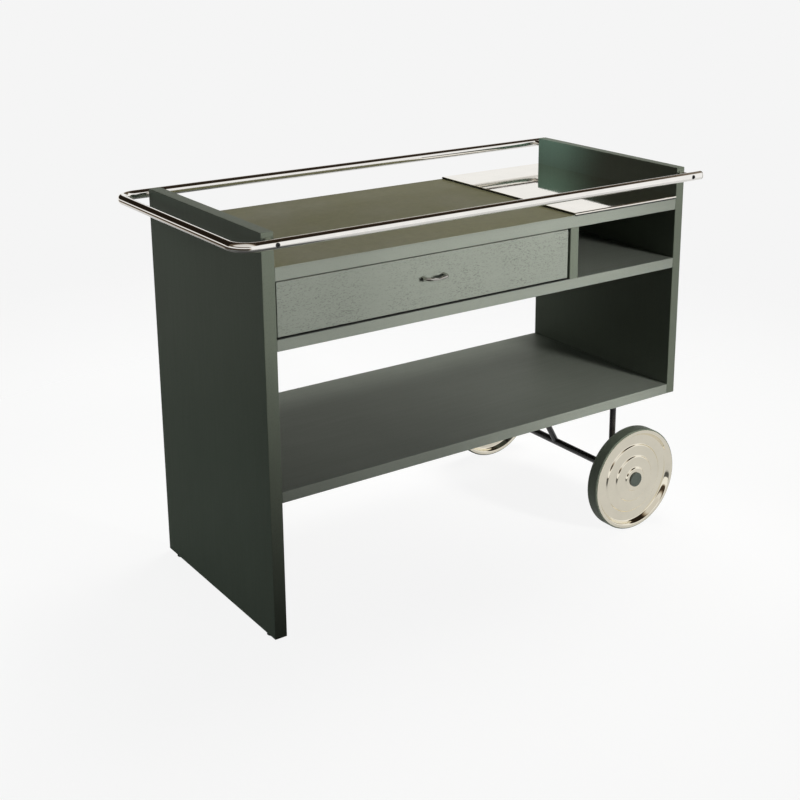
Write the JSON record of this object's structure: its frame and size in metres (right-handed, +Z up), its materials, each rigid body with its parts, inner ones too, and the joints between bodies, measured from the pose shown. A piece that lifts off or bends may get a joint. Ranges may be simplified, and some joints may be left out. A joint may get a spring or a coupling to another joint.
{
  "type": "bar trolley",
  "caption": "Low bar trolley: a lacquered case with drawer, niche and open bay on one tall end panel and a pair of plated wheels, with a chromed tube rail that bends into a push handle.",
  "frame": {"origin": "on the floor, under the middle of the whole trolley's bounding box", "axes": "+X from the tall end panel and its push handle towards the wheels, +Y towards the back (the drawer opens towards -Y), +Z up"},
  "size_m": [0.964, 0.4696, 0.685],
  "materials": {
    "lacquer": "grey-green lacquer over fine grain, satin",
    "lining": "olive lining, matt",
    "beech": "pale beech, oiled",
    "plated": "warm nickel plating, polished",
    "steel": "zinc-plated steel",
    "black_steel": "black paint, semi-gloss",
    "tyre": "grey-green rubber, matt",
    "core_plastic": "moulded black core",
    "cap_plastic": "grey-green cap, matt",
    "glide_plastic": "black nylon",
    "bronze": "plain bronze bush"
  },
  "bodies": {
    "carcass": {"left_panel": "lacquer", "right_panel": "lacquer", "top_board": "lacquer", "top_lining": "lining", "middle_shelf": "lacquer", "lower_shelf": "lacquer", "divider": "lacquer", "back_panel": "lacquer", "carcass_dowels": "beech", "panel_glides": "glide_plastic", "runner_left": "beech", "runner_right": "beech", "runner_screws": "steel", "drawer_stop": "beech", "stop_screw": "steel", "tray_plate": "plated", "rail": "plated", "rail_standoffs": "plated", "rail_screws": "steel", "rail_plugs": "plated", "axle": "black_steel", "front_strut": "black_steel", "rear_strut": "black_steel", "stay": "black_steel", "foot_plates": "black_steel", "plate_screws": "black_steel", "axle_washers": "steel", "axle_screws": "steel"},
    "drawer": {"drawer_front": "lacquer", "drawer_side_left": "beech", "drawer_side_right": "beech", "drawer_back": "beech", "drawer_bottom": "beech", "drawer_dowels": "beech", "drawer_pull": "plated", "pull_screws": "steel"},
    "front_wheel": {"front_tyre": "tyre", "front_core": "core_plastic", "front_disc_outer": "plated", "front_disc_inner": "plated", "front_bush": "bronze", "front_hub_cap": "cap_plastic"},
    "rear_wheel": {"rear_tyre": "tyre", "rear_core": "core_plastic", "rear_disc_outer": "plated", "rear_disc_inner": "plated", "rear_bush": "bronze", "rear_hub_cap": "cap_plastic"}
  },
  "joints": [
    {"name": "drawer_slide", "type": "slide", "parent": "carcass", "child": "drawer", "axis": [0, -1, 0], "range_m": [0, 0.3]},
    {"name": "front_wheel_spin", "type": "hinge", "parent": "carcass", "child": "front_wheel", "pos_m": [0.34, -0.2195, 0.1], "axis": [0, 1, 0], "continuous": true},
    {"name": "rear_wheel_spin", "type": "hinge", "parent": "carcass", "child": "rear_wheel", "pos_m": [0.34, 0.2195, 0.1], "axis": [0, 1, 0], "continuous": true}
  ]
}
